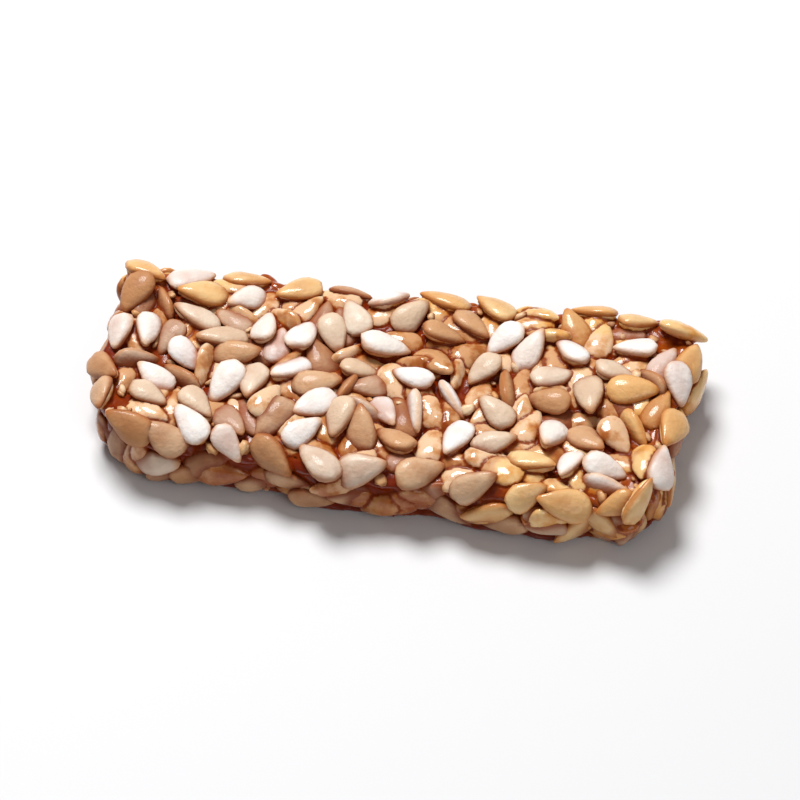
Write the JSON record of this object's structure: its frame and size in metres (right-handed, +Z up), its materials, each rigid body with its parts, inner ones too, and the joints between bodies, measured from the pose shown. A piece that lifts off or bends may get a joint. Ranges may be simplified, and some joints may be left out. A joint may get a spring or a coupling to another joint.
{
  "type": "sesame sohan",
  "caption": "Small rectangular tile of sesame brittle: amber caramel packed with pale sesame seeds, hand cut, flat underneath.",
  "frame": {"origin": "on the flat underside, under the middle of the tile", "axes": "+X along the tile's length, +Y across it to the far edge, +Z up through its thickness"},
  "size_m": [0.0397, 0.0177, 0.0054],
  "materials": {
    "sesame_brittle": "glossy amber caramel with cream and golden sesame seeds, mottled"
  },
  "bodies": {
    "root": {"sohan": "sesame_brittle"}
  },
  "joints": []
}
